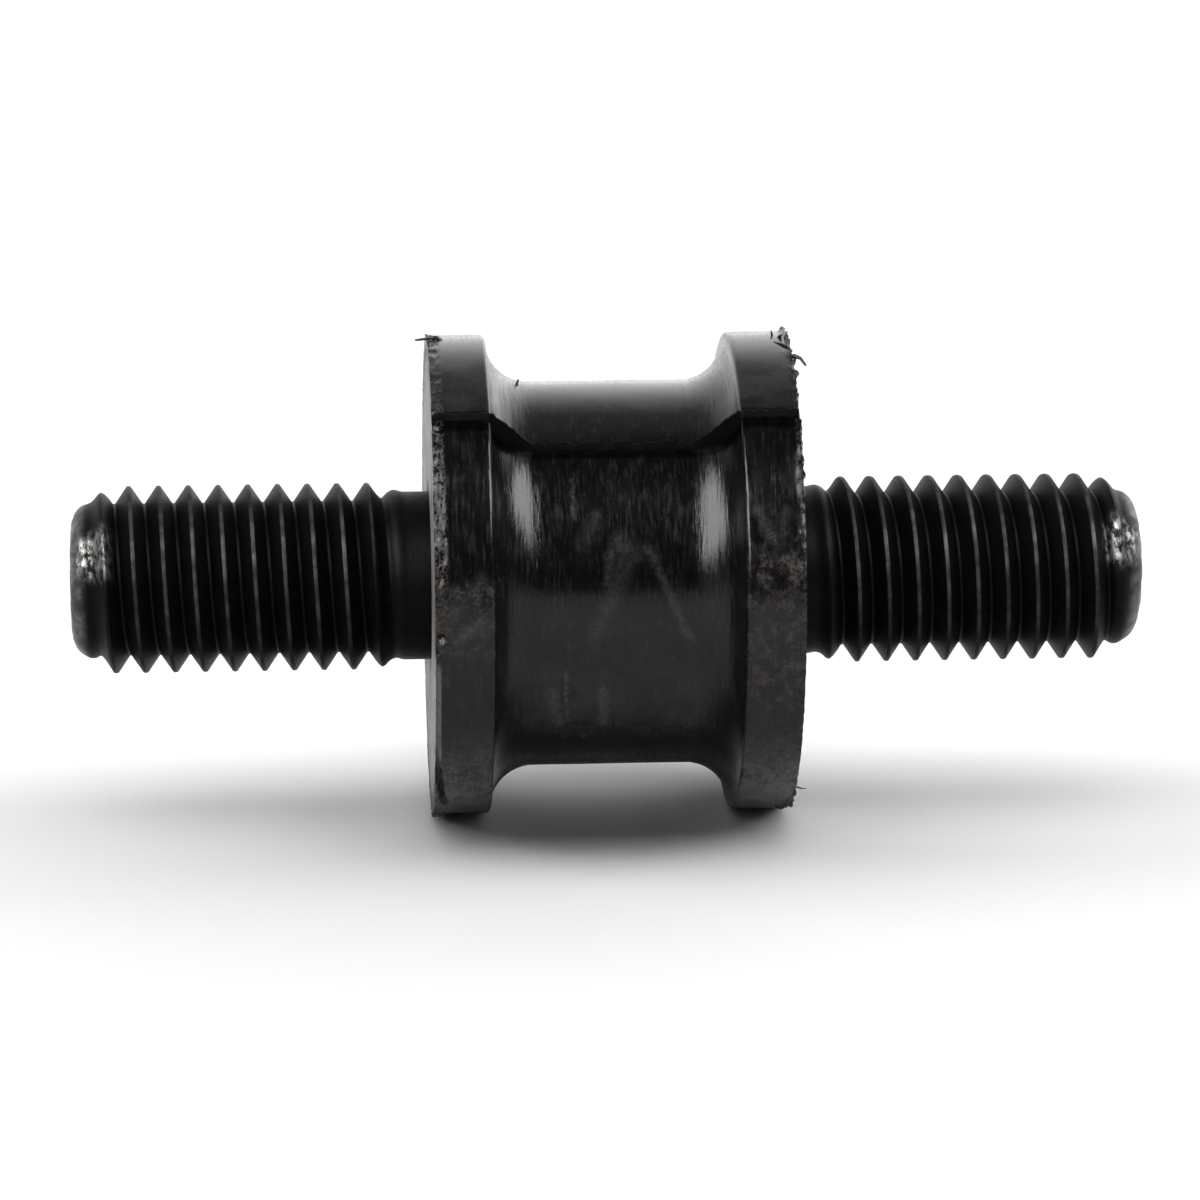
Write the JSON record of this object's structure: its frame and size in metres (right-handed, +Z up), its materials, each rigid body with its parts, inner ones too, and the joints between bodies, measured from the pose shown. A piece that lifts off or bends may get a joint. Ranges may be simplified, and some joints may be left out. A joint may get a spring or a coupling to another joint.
{
  "type": "exhaust rubber mount",
  "caption": "Waisted black rubber mount with a steel plate and a threaded stud bonded into each end, to hang an exhaust and damp its shaking.",
  "frame": {"origin": "middle of the rubber body, on the axis of the studs", "axes": "X along the studs, +X towards the right stud of the picture, -Y towards the viewer, +Z up as the part lies in the picture"},
  "size_m": [0.045, 0.0202, 0.0202],
  "materials": {
    "black_rubber": "satin moulded rubber with dusty scuffs",
    "plate_steel": "dull bonded steel",
    "stud_steel": "black phosphated steel, worn bright on the crests"
  },
  "bodies": {
    "root": {"rubber_body": "black_rubber", "end_plate_left": "plate_steel", "end_plate_right": "plate_steel", "stud_left": "stud_steel", "stud_right": "stud_steel"}
  },
  "joints": []
}
